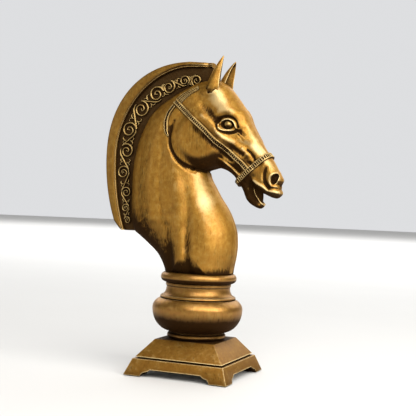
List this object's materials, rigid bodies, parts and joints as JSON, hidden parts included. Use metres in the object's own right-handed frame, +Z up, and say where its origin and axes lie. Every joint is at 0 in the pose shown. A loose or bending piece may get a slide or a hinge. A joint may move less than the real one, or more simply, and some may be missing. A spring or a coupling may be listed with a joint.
{
  "type": "giant chess knight",
  "caption": "Giant lawn-chess knight: horse head with bridle and scrolled crest on a turned stem and square bracket-foot plinth, antique gold.",
  "frame": {"origin": "on the floor under the middle of the whole piece's bounding box; the stem's axis stands 28 mm towards +X from it", "axes": "+Z up, +X the way the horse faces, -Y the horse's right side"},
  "size_m": [0.441, 0.244, 0.721],
  "materials": {
    "antique_gold": "cast aluminium under antique gold lacquer, brown patina in the hollows, worn bright on the edges",
    "worn_gold": "the same gold lacquer rubbed pale on raised ornament",
    "dark_patina": "dark brown-black patina on the recessed crest ground",
    "steel_fittings": "zinc-plated steel fasteners, closing plate and plug",
    "rubber_pads": "black rubber feet",
    "rubber_seal": "black rubber sealing ring"
  },
  "bodies": {
    "root": {"plinth_skirt": "antique_gold", "plinth_cap": "antique_gold", "closing_plate": "steel_fittings", "closing_plate_screw_1": "steel_fittings", "closing_plate_screw_2": "steel_fittings", "closing_plate_screw_3": "steel_fittings", "closing_plate_screw_4": "steel_fittings", "filler_collar": "steel_fittings", "foot_pad_1": "rubber_pads", "foot_pad_2": "rubber_pads", "foot_pad_3": "rubber_pads", "foot_pad_4": "rubber_pads", "stem_foot_ring": "antique_gold", "bulb": "antique_gold", "cove_collar": "antique_gold", "neck_ring": "antique_gold", "tie_rod": "steel_fittings", "anchor_plate": "steel_fittings", "tie_rod_nut_bottom": "steel_fittings", "clamp_washer": "steel_fittings", "tie_rod_nut_top": "steel_fittings", "neck_shell_right": "antique_gold", "neck_shell_left": "antique_gold", "seam_pin_1": "steel_fittings", "seam_pin_2": "steel_fittings", "seam_pin_3": "steel_fittings", "seam_pin_4": "steel_fittings", "crest_pin_1": "steel_fittings", "crest_pin_2": "steel_fittings", "crest_pin_3": "steel_fittings", "ear_right": "antique_gold", "ear_left": "antique_gold", "eye_right": "worn_gold", "eye_left": "worn_gold", "noseband": "worn_gold", "cheek_strap_right": "worn_gold", "cheek_strap_left": "worn_gold", "headpiece_right": "worn_gold", "headpiece_left": "worn_gold", "throatlatch_right": "worn_gold", "throatlatch_left": "worn_gold", "crest_rim": "antique_gold", "crest_panel": "dark_patina", "scrollwork_right": "worn_gold", "scrollwork_left": "worn_gold"},
    "plug_seal": {"filler_seal": "rubber_seal"},
    "plug": {"filler_plug": "steel_fittings"}
  },
  "joints": [
    {"name": "plug_out", "type": "slide", "parent": "root", "child": "plug_seal", "axis": [0, 0, -1], "range_m": [0, 0.012]},
    {"name": "plug_turn", "type": "hinge", "parent": "plug_seal", "child": "plug", "pos_m": [0.028, 0, 0.018], "axis": [0, 0, -1], "range_deg": [0, 1080]}
  ],
  "couplings": [
    {"joint": "plug_out", "follows": "plug_turn", "m_per_rad": 0.00063662}
  ]
}
